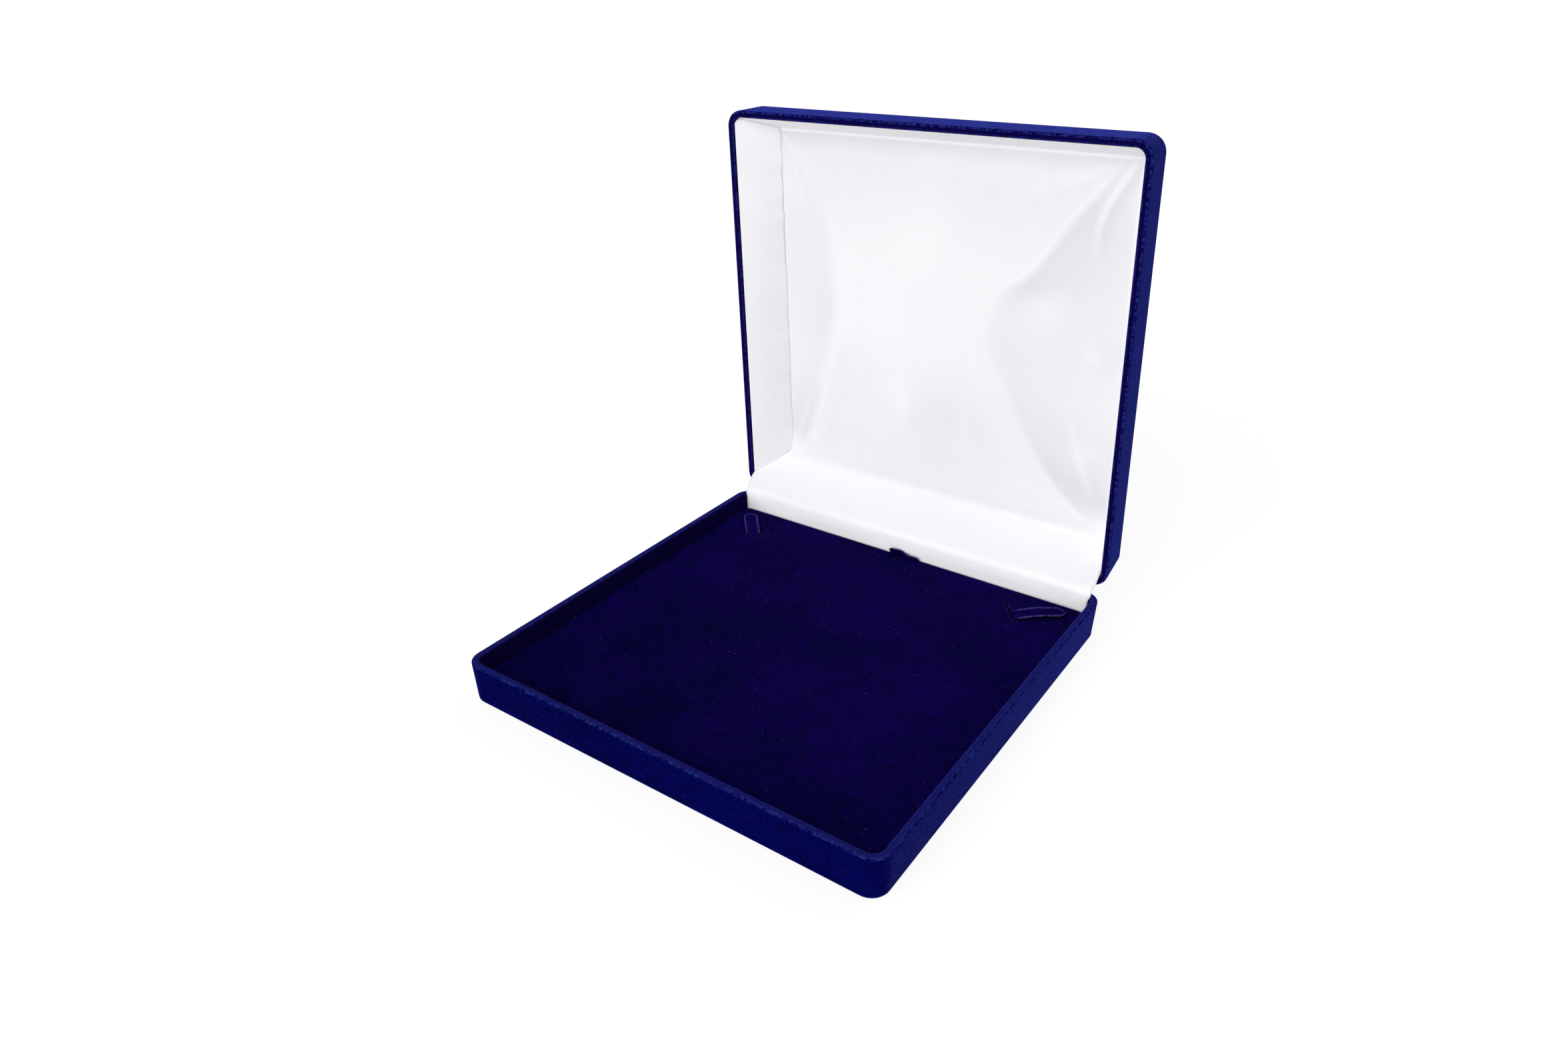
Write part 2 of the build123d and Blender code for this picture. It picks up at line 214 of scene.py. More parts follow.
# Objects and meshes
def placed(name, data):
    """A new object in the scene."""
    obj = bpy.data.objects.new(name, data)
    bpy.context.scene.collection.objects.link(obj)
    return obj


def mesh_object(name, verts, faces, material):
    mesh = bpy.data.meshes.new(name)
    mesh.from_pydata([tuple(v) for v in verts], [], [tuple(int(i) for i in f) for f in faces])
    mesh.validate()
    mesh.polygons.foreach_set("use_smooth", [True] * len(mesh.polygons))
    mesh.update()
    mesh.materials.append(material)
    return placed(name, mesh)


def grid_faces(rows, cols, start=0):
    r, c = np.meshgrid(np.arange(rows - 1), np.arange(cols - 1), indexing="ij")
    a = start + r * cols + c
    return np.stack([a, a + 1, a + cols + 1, a + cols], -1).reshape(-1, 4)


def grid_normals(p):
    n = np.cross(np.gradient(p, axis=0), np.gradient(p, axis=1))
    return n / np.maximum(np.linalg.norm(n, axis=-1, keepdims=True), 1e-12)


def outward(verts, faces):
    """The faces of a closed solid, all turned to point out of it."""
    a, b, c, d = (verts[faces[:, i]] - verts[0] for i in range(4))
    volume = (a * np.cross(b, c)).sum() + (a * np.cross(c, d)).sum()
    return faces if volume > 0 else faces[:, ::-1]


def solid_between(name, front, back, material):
    """A closed solid between two grids of points."""
    rows, cols = front.shape[:2]
    count = rows * cols
    verts = np.concatenate([front.reshape(-1, 3), back.reshape(-1, 3)])
    index = np.arange(count).reshape(rows, cols)
    loop = np.concatenate([index[0, :-1], index[:-1, -1], index[-1, :0:-1], index[:0:-1, 0]])
    following = np.roll(loop, -1)
    rim = np.stack([loop, loop + count, following + count, following], -1)
    faces = np.concatenate([grid_faces(rows, cols), grid_faces(rows, cols, count)[:, ::-1], rim])
    return mesh_object(name, verts, outward(verts, faces), material)


def cloth_object(name, face, thickness, material, flip=False):
    """A closed sheet of cloth between a grid of points and the same grid a thickness off, on either side."""
    n = grid_normals(face)
    other = face + (n if flip else -n) * thickness * MM
    return solid_between(name, face, other, material)


def paint(obj, name, values, behind=0.0):
    """Keeps a number for each point of a cloth's face, and a share of it behind, for its material to read."""
    attribute = obj.data.attributes.new(name, "FLOAT", "POINT")
    both = np.concatenate([values.ravel(), values.ravel() * behind])
    attribute.data.foreach_set("value", both.astype(np.float32))


# Materials
class Shader:
    """A node material that is built up step by step. The scales of its noises are waves per metre."""

    def __init__(self, name):
        self.material = bpy.data.materials.new(name)
        self.material.use_nodes = True
        self.tree = self.material.node_tree
        self.bsdf = self.tree.nodes["Principled BSDF"]
        self.place = self.tree.nodes.new("ShaderNodeTexCoord").outputs["Object"]

    def node(self, kind, **settings):
        node = self.tree.nodes.new(kind)
        for key, value in settings.items():
            setattr(node, key, value)
        return node

    def feed(self, socket, value):
        """Links a socket to another one, or gives it a fixed value."""
        if isinstance(value, bpy.types.NodeSocket):
            self.tree.links.new(value, socket)
        else:
            socket.default_value = value

    def math(self, operation, *values):
        node = self.node("ShaderNodeMath", operation=operation)
        for socket, value in zip(node.inputs, values):
            self.feed(socket, value)
        return node.outputs[0]

    def weighted(self, first, *others):
        """The sum of several pairs of a value and its weight."""
        total = self.math("MULTIPLY", *first)
        for pair in others:
            total = self.math("ADD", total, self.math("MULTIPLY", *pair))
        return total

    def noise(self, scale, detail, roughness, vector=None, distortion=0.0):
        node = self.node("ShaderNodeTexNoise")
        self.feed(node.inputs["Vector"], vector or self.place)
        node.inputs["Scale"].default_value = scale
        node.inputs["Detail"].default_value = detail
        node.inputs["Roughness"].default_value = roughness
        node.inputs["Distortion"].default_value = distortion
        return node.outputs["Fac"]

    def threads(self, scales, detail, roughness):
        """A noise drawn out along one axis, with its own scale along each."""
        node = self.node("ShaderNodeMapping")
        self.feed(node.inputs["Vector"], self.place)
        node.inputs["Scale"].default_value = scales
        return self.noise(1.0, detail, roughness, vector=node.outputs["Vector"])

    def specks(self, scale, radius, share):
        """A mask of small round specks, on a share of the cells only."""
        node = self.node("ShaderNodeTexVoronoi", feature="F1")
        self.feed(node.inputs["Vector"], self.place)
        node.inputs["Scale"].default_value = scale
        parts = self.node("ShaderNodeSeparateColor")
        self.feed(parts.inputs[0], node.outputs["Color"])
        near = self.steps(node.outputs["Distance"], radius, radius * 0.5)
        chosen = self.math("LESS_THAN", parts.outputs[0], share)
        return self.math("MULTIPLY", near, chosen)

    def painted(self, name):
        """The number that paint() kept under this name."""
        return self.node("ShaderNodeAttribute", attribute_name=name).outputs["Fac"]

    def split(self, vector):
        node = self.node("ShaderNodeSeparateXYZ")
        self.feed(node.inputs[0], vector)
        return node.outputs

    def steps(self, value, low, high, out_low=0.0, out_high=1.0):
        """A smooth change from out_low at low to out_high at high."""
        node = self.node("ShaderNodeMapRange", interpolation_type="SMOOTHSTEP")
        for key, number in (("Value", value), ("From Min", low), ("From Max", high),
                            ("To Min", out_low), ("To Max", out_high)):
            self.feed(node.inputs[key], number)
        return node.outputs["Result"]

    def mix(self, share, first, second):
        node = self.node("ShaderNodeMix", data_type="RGBA")
        self.feed(node.inputs["Factor"], share)
        self.feed(node.inputs["A"], first)
        self.feed(node.inputs["B"], second)
        return next(out for out in node.outputs if out.type == "RGBA")

    def cover(self, colour, mask, strength, over):
        """A colour with another one laid over it where the mask is, up to a strength."""
        return self.mix(self.math("MULTIPLY", mask, strength), colour, over)

    def bump(self, height, strength, distance):
        """Adds fine bumps, on top of what bumps there are."""
        node = self.node("ShaderNodeBump")
        node.inputs["Strength"].default_value = strength
        node.inputs["Distance"].default_value = distance * MM
        self.feed(node.inputs["Height"], height)
        if self.bsdf.inputs["Normal"].is_linked:
            self.feed(node.inputs["Normal"], self.bsdf.inputs["Normal"].links[0].from_socket)
        self.feed(self.bsdf.inputs["Normal"], node.outputs["Normal"])

    def set(self, **values):
        for key, value in values.items():
            self.feed(self.bsdf.inputs[key.replace("_", " ")], value)


def pile(shader, deep, bright, lint):
    """The look of short pile: blotches, a nap, tufts and fine grain, with pale fibres and scattered lint."""
    blotch = shader.noise(26.0, 3.0, 0.55)
    nap = shader.noise(150.0, 3.0, 0.6)
    tufts = shader.noise(620.0, 3.0, 0.75)
    grain = shader.noise(1900.0, 2.0, 0.7)
    shade = shader.weighted((blotch, 0.40), (nap, 0.25), (tufts, 0.75), (grain, 0.60))
    colour = shader.mix(shader.steps(shade, 0.78, 1.22), deep, bright)
    fibres = shader.specks(scale=620.0, radius=0.20, share=0.14)
    colour = shader.cover(colour, fibres, 0.40, PILE_FIBRE)
    dust = shader.specks(scale=380.0, radius=0.085, share=lint)
    colour = shader.cover(colour, dust, 0.60, PILE_DUST)
    shader.bump(tufts, strength=0.6, distance=0.5)
    shader.bump(grain, strength=0.8, distance=0.3)
    shader.bump(nap, strength=0.25, distance=0.4)
    return colour


def shut_place(shader):
    """Where a point of the open lid is with the lid shut."""
    pivot = Vector((0.0, PIVOT_Y * MM, PIVOT_Z * MM))
    node = shader.node("ShaderNodeMapping", vector_type="POINT")
    node.inputs["Rotation"].default_value = (LID_OPEN, 0.0, 0.0)
    node.inputs["Location"].default_value = pivot - Matrix.Rotation(LID_OPEN, 3, "X") @ pivot
    shader.feed(node.inputs["Vector"], shader.place)
    return node.outputs["Vector"]


def inside_shell(shader, x, y):
    """Distance inside the shells' round-cornered outline, in metres."""
    straight = (HALF - CORNER_R) * MM
    qx = shader.math("SUBTRACT", shader.math("ABSOLUTE", x), straight)
    qy = shader.math("SUBTRACT", shader.math("ABSOLUTE", y), straight)
    square_x = shader.math("POWER", shader.math("MAXIMUM", qx, 0.0), 2.0)
    square_y = shader.math("POWER", shader.math("MAXIMUM", qy, 0.0), 2.0)
    corner = shader.math("SQRT", shader.math("ADD", square_x, square_y))
    flat = shader.math("MINIMUM", shader.math("MAXIMUM", qx, qy), 0.0)
    return shader.math("SUBTRACT", CORNER_R * MM, shader.math("ADD", corner, flat))


def flock_material(name, rim_z, rim_painted_lighting, turned):
    """Blue flock on a shell: duller inside, its rim's top face painted lighter as sheen on the base and
    darker as shade on the lid, with rubbed lines along its rim that also carry a painted highlight. The open
    lid is turned.
    """
    shader = Shader(name)
    colour = pile(shader, FLOCK_DEEP, FLOCK_BRIGHT, FLOCK_LINT)
    x, y, z = shader.split(shut_place(shader) if turned else shader.place)
    from_rim = shader.math("ABSOLUTE", shader.math("SUBTRACT", z, rim_z * MM))
    inward = inside_shell(shader, x, y)
    on_wall = shader.steps(inward, 0.3 * MM, 0.8 * MM)
    # The rim's top face: painted sheen on the base, painted shade on the lid.
    top = shader.math("MULTIPLY", on_wall, shader.steps(from_rim, 0.6 * MM, 0.2 * MM))
    colour = shader.cover(colour, top, 0.80, rim_painted_lighting)
    inside = shader.steps(inward, 2.4 * MM, 3.1 * MM)
    colour = shader.cover(colour, inside, 0.85, FLOCK_INSIDE)
    near_rim = shader.steps(from_rim, 1.1 * MM, 0.3 * MM)
    ragged = shader.steps(shader.noise(700.0, 5.0, 0.85), 0.44, 0.60)
    # Lines along the rim: partly rubbed pile, partly a painted highlight of the pile's edge catching the
    # light.
    for place_in, width, strength in RUBBED_AND_LIT_LINES:
        line = shader.math("ABSOLUTE", shader.math("SUBTRACT", inward, place_in * MM))
        line = shader.steps(line, width * MM, width * MM * 0.2)
        line = shader.math("MULTIPLY", line, near_rim)
        line = shader.math("MULTIPLY", line, ragged)
        colour = shader.cover(colour, line, strength, FLOCK_WEAR_AND_HIGHLIGHT)
    shader.set(Base_Color=colour, Roughness=0.95, Specular_IOR_Level=0.004)
    shader.set(Sheen_Weight=1.0, Sheen_Roughness=0.15, Sheen_Tint=FLOCK_SHEEN)
    return shader.material


def velvet_material(name, tone=1.0):
    """The violet velvet of the pad, the tabs and the ribbon: paler where worn and where a highlight is
    painted on edges, and darker where shade and shadow are painted.
    """
    shader = Shader(name)
    deep, bright = (rgb(*(v * tone for v in colour[:3])) for colour in (VELVET_DEEP, VELVET_BRIGHT))
    colour = pile(shader, deep, bright, VELVET_LINT)
    patches = shader.steps(shader.noise(700.0, 3.0, 0.6), 0.3, 0.6)
    # Paler where rubbed, and where a highlight is painted on edges.
    colour = shader.cover(colour, shader.painted("wear_and_highlight"), patches, VELVET_WEAR_AND_HIGHLIGHT)
    # Painted shadow: darkens the velvet in the slits and under the tabs.
    colour = shader.mix(shader.painted("painted_shadow"), colour, VELVET_PAINTED_SHADOW)
    shader.set(Base_Color=colour, Roughness=0.97, Specular_IOR_Level=0.01)
    shader.set(Sheen_Weight=0.02, Sheen_Roughness=0.5, Sheen_Tint=VELVET_SHEEN)
    return shader.material


def satin_material(name):
    """White satin with a fine thread, a faint wave in its weave and a soft gloss, darkened by shade painted
    on its slopes, strips and creases.
    """
    shader = Shader(name)
    tone = shader.steps(shader.noise(18.0, 3.0, 0.5), 0.35, 0.7)
    slubs = shader.threads((3200.0, 700.0, 700.0), 2.0, 0.6)
    colour = shader.mix(tone, SATIN_DULL, SATIN_CLEAR)
    colour = shader.cover(colour, slubs, 0.10, SATIN_THREAD)
    # Painted shade: the number kept at each of the satin's points darkens it towards SATIN_SHADE.
    colour = shader.mix(shader.painted("painted_shade"), colour, SATIN_SHADE)
    shader.bump(slubs, strength=0.18, distance=0.12)
    shader.bump(shader.noise(95.0, 3.0, 0.5, distortion=0.6), strength=0.20, distance=1.0)
    roughness = shader.steps(shader.noise(60.0, 2.0, 0.5), 0.2, 0.8, 0.30, 0.40)
    shader.set(Base_Color=colour, Roughness=roughness, Specular_IOR_Level=0.45)
    shader.set(Sheen_Weight=0.15, Sheen_Roughness=0.3)
    return shader.material


def steel_material(name):
    """Plated steel strip with a fine brushed grain and dull spots."""
    shader = Shader(name)
    brushed = shader.threads((240.0, 5200.0, 5200.0), 3.0, 0.6)
    spots = shader.steps(shader.noise(500.0, 4.0, 0.6), 0.5, 0.75)
    colour = shader.mix(spots, STEEL_CLEAR, STEEL_SPOT)
    roughness = shader.steps(brushed, 0.2, 0.8, 0.24, 0.42)
    shader.bump(brushed, strength=0.12, distance=0.05)
    shader.set(Base_Color=colour, Roughness=roughness, Metallic=1.0)
    return shader.material


def card_material(name):
    """Grey-brown card with fibres."""
    shader = Shader(name)
    fibres = shader.noise(900.0, 4.0, 0.7)
    shader.bump(fibres, strength=0.2, distance=0.1)
    shader.set(Base_Color=shader.mix(fibres, CARD_DARK, CARD_PALE), Roughness=0.9)
    return shader.material


base_flock = flock_material("flock_base", BASE_H, BASE_RIM_PAINTED_SHEEN, turned=False)
lid_flock = flock_material("flock_lid", RIM_Z, LID_RIM_PAINTED_SHADE, turned=True)
velvet = velvet_material("velvet")
tab_velvet = velvet_material("tab_velvet", tone=1.2)
satin = satin_material("satin")
steel = steel_material("steel")
card = card_material("card")


# The rigid pieces, whose CAD shape stays
def dress(node, material):
    frame["nodes"][node].material_slots[0].material = material


def dress_rigid_pieces():
    dress("base_shell", base_flock)
    dress("lid_shell", lid_flock)
    dress("panel_card", card)
    for side in ("left", "right", "front", "hinge"):
        dress("border_card_" + side, card)
    for side in ("left", "right"):
        for part in ("base_leaf", "lid_leaf", "pin"):
            dress("hinge_" + part + "_" + side, steel)


# The satin panel, drawn to its four corners. Its broad form rises from the creases to two arcs.
LEFT_ARC = [(-76, -85), (-57, -64), (-49, -44), (-45, -10), (-51, 28), (-70, 76)]
RIGHT_ARC = [(87, -88), (69, -68), (50, -39), (34, -22), (35, 8), (56, 48), (86, 76)]
PANEL_RISE = 6.4
FRONT_LIFT = 0.35
HINGE_LIFT = 1.6
HINGE_LOSS = 1.25
LEAST_RUN = 1.5
ARC_ROUND = 0.28
WALL_ROUND = 0.55
HINGE_ROUND = 1.9
HINGE_LAP = 6.5
LAP_KEPT = 0.02
STRIP_T = 0.4
PANEL_STEP = 0.86
FRONT_STEP = 0.3
RIGHT_STEP = 0.2

# Drawn folds as their line, height and half width, and soft swells and dents as X, Y, height and radius
SHARP_FOLDS = [
    ([(88, -88), (76, -64.5), (72.7, -43)], 0.45, 2.2),
    ([(84, -85.5), (65.6, -63), (45, -33), (36, -23)], 0.26, 2.8),
    ([(87, 74), (75, 45), (66.5, 15.5)], 0.26, 2.6),
    ([(80, 72), (57, 49), (36, 7)], 0.34, 3.2),
    ([(-75, -84), (-66, -66), (-60, -40)], 0.12, 2.5),
    ([(-74, -85), (-48, -66), (-22, -50)], 0.12, 3.6),
    ([(-75, 75), (-66, 56), (-58, 30)], 0.24, 3.2),
    ([(-71, 72), (-60, 44), (-47, 14), (-38, -8)], 0.30, 4.4),
    ([(-74, 75), (-52, 58), (-30, 44)], 0.14, 3.6),
    ([(86, -86), (60, -74), (30, -64)], 0.14, 3.4),
    ([(86, 75), (62, 64), (36, 56)], 0.20, 3.4),
]
SOFT_SPOTS = [
    (-33, 20, -0.38, 11), (-38, 38, -0.40, 12), (-44, 56, -0.32, 10), (20, 40, -0.60, 17),
    (-10, 36, 0.35, 10), (61, -19, 0.55, 11), (79, -5, 0.34, 6), (80.5, 40, 0.3, 7), (0, -60, 0.25, 22),
    (-10, -5, 0.3, 30),
]

# How much shade is painted on the satin, on slopes by the side they face with the lid open, and by place
STEEPEST = 0.5
LEFTWARD_SHADE = 0.46
LEFTWARD_SHADE_LOW = 0.34
RIGHTWARD_SHADE = 0.56
RIGHTWARD_SHADE_TOP = 0.22
RIGHTWARD_SHADE_LOW = 0.60
UPWARD_SHADE = 0.92
DOWNWARD_SHADE = 0.12
CREST_LIGHT = 0.55
CREST_LIMITS = (-0.12, 0.08)
FLANK_SHADE = 0.22
FLANK_LIMIT = 0.2
SWELL_LIGHT = 0.06
PANEL_SHADE = 0.05
PANEL_SHADE_MOST = 0.22
LOW_LIGHT = 0.045
TOP_SHADE = 0.092
STRIP_SHADE = 0.05
LAP_SHADE = 0.035
CREASE_SHADE = 0.065


def arc_x(points, y):
    """The X of a fold line at each Y."""
    line = smooth_line(points)
    order = np.argsort(line[:, 1])
    return np.interp(y, line[order, 1], line[order, 0])


def broad_form(x, y):
    """The wadding's height: a crown between the two arcs, which slopes down to the creases on either side."""
    x = np.clip(x, CREASE_LEFT, CREASE_RIGHT)
    y = np.clip(y, CREASE_FRONT, CREASE_HINGE)
    left, right = arc_x(LEFT_ARC, y), arc_x(RIGHT_ARC, y)
    t = (y - (CREASE_FRONT + CREASE_HINGE) / 2) / ((CREASE_HINGE - CREASE_FRONT) / 2)
    towards_front = FRONT_LIFT + PANEL_RISE * (1 - np.abs(t) ** 2.6)
    towards_hinge = HINGE_LIFT + (PANEL_RISE - HINGE_LOSS) * (1 - np.abs(t) ** 2.0)
    crown = np.where(t < 0, towards_front, towards_hinge)
    share_left = (x - CREASE_LEFT) / np.maximum(left - CREASE_LEFT, LEAST_RUN)
    share_right = (CREASE_RIGHT - x) / np.maximum(CREASE_RIGHT - right, LEAST_RUN)
    from_left = crown * np.clip(share_left, 0, 9) ** 1.06
    from_right = crown * np.clip(share_right, 0, 9) ** 1.10
    return smooth_min([from_left, from_right, crown], ARC_ROUND)


def panel_forms(x, y):
    """The wadding's broad form, its soft swells and dents, and the drawn folds, each as a height."""
    soft = np.zeros(x.shape)
    for cx, cy, height, width in SOFT_SPOTS:
        soft += height * np.exp(-((x - cx) ** 2 + (y - cy) ** 2) / width ** 2)
    drawn = np.zeros(x.shape)
    for points, height, width in SHARP_FOLDS:
        away, along = line_distance(x, y, smooth_line(points, 24))
        drawn += height * bell(away, width) * np.sin(np.pi * np.clip(along, 0, 1) ** 0.7)
    return broad_form(x, y), soft, drawn


def panel_rise(x, y, broad, soft, drawn):
    """How far the satin stands proud of the creases: the panel inside them, and the strips outside."""
    edge = np.minimum.reduce([x - CREASE_LEFT, CREASE_RIGHT - x, y - CREASE_FRONT, CREASE_HINGE - y])
    small = soft + drawn + ripples(x, y, seed=4, waves=9, length=26.0, height=0.07)
    small = small + ripples(x, y, seed=9, waves=7, length=9.0, height=0.012)
    rise = np.maximum(broad + small * smoothstep(-1.0, 7.0, edge), 0.0)
    deep = CREASE_DEPTH - LINING_START
    right = (x - CREASE_RIGHT) * deep / (LINING_RIM - CREASE_RIGHT)
    front = (CREASE_FRONT - y) * deep / (LINING_RIM + CREASE_FRONT)
    hinge = (y - CREASE_HINGE) * deep / (LINING_RIM - CREASE_HINGE)
    rise = smooth_max([rise, right, front], WALL_ROUND)
    return smooth_max([rise, hinge + 0.05], HINGE_ROUND)


def panel_shade(xs, ys, broad, soft, drawn):
    """How much shade is painted where the satin turns away, and how much a painted highlight lightens it
    along a fold's crest.
    """
    along_y, along_x = np.gradient(broad + soft, ys, xs)
    top, low = smoothstep(0.0, -60.0, ys)[:, None], smoothstep(10.0, 60.0, ys)[:, None]
    shade = (LEFTWARD_SHADE + LEFTWARD_SHADE_LOW * low) * np.clip(along_x, 0, STEEPEST)
    rightward = RIGHTWARD_SHADE + RIGHTWARD_SHADE_TOP * top + RIGHTWARD_SHADE_LOW * low
    shade += rightward * np.clip(-along_x, 0, STEEPEST)
    shade += UPWARD_SHADE * np.clip(along_y, 0, STEEPEST) + DOWNWARD_SHADE * np.clip(-along_y, 0, STEEPEST)
    fold_y, fold_x = np.gradient(drawn, ys, xs)
    bend = np.gradient(fold_y, ys, axis=0) + np.gradient(fold_x, xs, axis=1)
    shade += CREST_LIGHT * np.clip(bend, *CREST_LIMITS)
    shade += FLANK_SHADE * np.clip(-fold_x, -FLANK_LIMIT, FLANK_LIMIT)
    return shade - SWELL_LIGHT * soft + PANEL_SHADE


def panel_painted_shade(xs, ys, forms):
    """How much shade is painted at each point of the panel's satin: on slopes, near the top and along the
    strips.
    """
    x, y = np.meshgrid(xs, ys)
    painted_shade = panel_shade(xs, ys, *forms) - LOW_LIGHT * smoothstep(-20.0, CREASE_HINGE, y)
    inner = smoothstep(0.0, 2.0, np.minimum(CREASE_RIGHT - x, y - CREASE_FRONT))
    inner = inner * smoothstep(-2.0, 14.0, CREASE_HINGE - y)
    lap = smoothstep(CREASE_HINGE - 1.0, CREASE_HINGE + 3.0, y)
    painted_shade = np.clip(painted_shade, 0, PANEL_SHADE_MOST) * inner + (STRIP_SHADE + LAP_SHADE * lap) * (1 - inner)
    painted_shade += TOP_SHADE * smoothstep(55.0, -25.0, y) * inner
    return painted_shade + CREASE_SHADE * bell(y - CREASE_HINGE - 0.5, 3.2) * (x < CREASE_RIGHT)


def mitred(x, y):
    """A square grid whose strips at the front, the hinge and the right lean with their mitres."""
    past_front = np.clip((CREASE_FRONT - y) / (LINING_RIM + CREASE_FRONT), 0, 1)
    past_hinge = np.clip((y - CREASE_HINGE) / (LINING_RIM - CREASE_HINGE), 0, 1)
    from_right = np.clip((CREASE_RIGHT - x) / (CREASE_RIGHT - CREASE_LEFT), 0, 1)
    lean = np.maximum(past_front, past_hinge) * (LINING_RIM + CREASE_LEFT) * from_right
    past_right = np.clip((x - CREASE_RIGHT) / (LINING_RIM - CREASE_RIGHT), 0, 1)
    from_front = np.clip((y - CREASE_FRONT) / (CREASE_HINGE - CREASE_FRONT), 0, 1)
    stretch = (LINING_RIM - CREASE_HINGE - LAP_KEPT * HINGE_LAP) * from_front
    lap = (1 - LAP_KEPT) * np.maximum(y - CREASE_HINGE, 0.0)
    return x - lean, y + past_right * (stretch - lap)


def satin_panel():
    """The padded panel, whose satin runs on up the lid's front and right walls."""
    right_strip = (CREASE_RIGHT - 1.2, LINING_RIM)
    xs = grid_lines(CREASE_LEFT, LINING_RIM, PANEL_STEP, RIGHT_STEP, [right_strip])
    front_strip = (-LINING_RIM, CREASE_FRONT + 2)
    ys = grid_lines(-LINING_RIM, CREASE_HINGE + HINGE_LAP, PANEL_STEP, FRONT_STEP, [front_strip])
    x, y = np.meshgrid(xs, ys)
    leant_x, leant_y = mitred(x, y)
    forms = panel_forms(x, leant_y)
    rise = np.minimum(panel_rise(x, leant_y, *forms), CREASE_DEPTH - LINING_START)
    z = RIM_Z + CREASE_DEPTH - rise
    slope = np.hypot(*np.gradient(z, ys, xs))
    strip_back = np.minimum(z + STRIP_T * np.sqrt(1 + slope ** 2), PANEL_BACK)
    within = (x <= CREASE_RIGHT) & (y >= CREASE_FRONT) & (y <= CREASE_HINGE)
    face = np.stack([leant_x, leant_y, z], -1)
    back = np.stack([leant_x, leant_y, np.where(within, PANEL_BACK, strip_back)], -1)
    obj = solid_between("satin_panel", opened(face), opened(back), satin)
    # Paints shade on the panel's slopes, strips and hinge crease, lighter along fold crests.
    paint(obj, "painted_shade", panel_painted_shade(xs, ys, forms))
    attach(obj, "lid")
    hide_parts("panel_satin", "panel_wadding", "border_satin_front", "border_satin_right")


# The lining's left strip. The panel and the flap take in the other three.
LINING_GRID = (190, 30)
BELLY = 0.9
BELLY_IN = 0.75
BELLY_UP = 0.6
SEAM_SWAY = 0.7
LEFT_SHADE = 0.12
SEAM_SHADE = 0.10


def lining_sides(depth):
    """Where the lining's left, right, front and hinge sides lie at a depth below the closed lid's rim."""
    share = (depth - LINING_START) / (CREASE_DEPTH - LINING_START)
    left = -LINING_RIM + (CREASE_LEFT + LINING_RIM) * share
    right = LINING_RIM + (CREASE_RIGHT - LINING_RIM) * share
    front = -LINING_RIM + (CREASE_FRONT + LINING_RIM) * share
    hinge = LINING_RIM + (CREASE_HINGE - LINING_RIM) * share
    return left, right, front, hinge


def left_lining():
    """The left strip, from the rim down to its crease, a little full, with a puckered seam there."""
    u, v = unit_grid(*LINING_GRID)
    depth = LINING_START + (CREASE_DEPTH - LINING_START) * v
    left, _, front, hinge = lining_sides(depth)
    y = front + (hinge - front) * u
    full = np.sin(np.pi * v) * BELLY * held_at_ends(u, 9.0)
    full += ripples(y, depth, seed=21, waves=6, length=21.0, height=0.12) * np.sin(np.pi * v) ** 0.5
    sway = SEAM_SWAY + ripples(y, depth * 0, seed=22, waves=5, length=46.0, height=0.35)
    sway = (sway + ripples(y, depth * 0, seed=23, waves=6, length=9.0, height=0.22)) * v ** 3
    x = left + (full * BELLY_IN + sway * held_at_ends(u, 6.0))
    face = np.stack([x, y, RIM_Z + depth - full * BELLY_UP], -1)
    obj = cloth_object("lining_left", opened(face), SATIN_T, satin, flip=True)
    # Shade painted on the strip, darker towards the top and along the seam's crease.
    paint(obj, "painted_shade", LEFT_SHADE * smoothstep(75.0, -15.0, y) + SEAM_SHADE * smoothstep(0.93, 1.0, v))
    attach(obj, "lid")
    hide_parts("border_satin_left")


# The flap over the hinge, as points in Y and Z up from the pad's foot. It runs on into the lid's lining.
FLAP_BASE = [
    (90.6, 4.0), (90.55, 7.5), (90.5, 10.0), (90.42, 12.6), (90.5, 15.6), (91.2, 19.0),
    (92.9, 21.6), (97.0, 25.2), (101.0, 28.6), (104.6, 31.9),
]
FLAP_LINING_DEPTHS = (11.5, 14.0)
FLAP_HALF = 90.2
FLAP_SPREAD = 0.9
FLAP_POINTS = 90
FLAP_COLUMNS = 170
FLAP_SHADE = 0.01
FLAP_SHADE_TOP = 0.05


def flap_profile():
    """The flap's section across the hinge, in Y and Z with the lid open."""
    shut = [(0, lining_sides(depth)[3], RIM_Z + depth) for depth in FLAP_LINING_DEPTHS]
    in_lid = opened(shut) / MM
    return smooth_line(FLAP_BASE + [(p[1], p[2]) for p in in_lid], FLAP_POINTS)


def flap_sides(y, z):
    """The X of the flap's two sides along its section: by the walls in the base, at the mitres in the lid."""
    depth = (y - PIVOT_Y) * math.sin(LID_OPEN) + (z - PIVOT_Z) * math.cos(LID_OPEN) + PIVOT_Z - RIM_Z
    left_mitre, right_mitre, _, _ = lining_sides(np.clip(depth, LINING_START, CREASE_DEPTH))
    in_lid = smoothstep(20.5, 23.5, z)
    half = FLAP_HALF + smoothstep(15.5, 18.5, z) * FLAP_SPREAD
    return -half * (1 - in_lid) + left_mitre * in_lid, half * (1 - in_lid) + right_mitre * in_lid


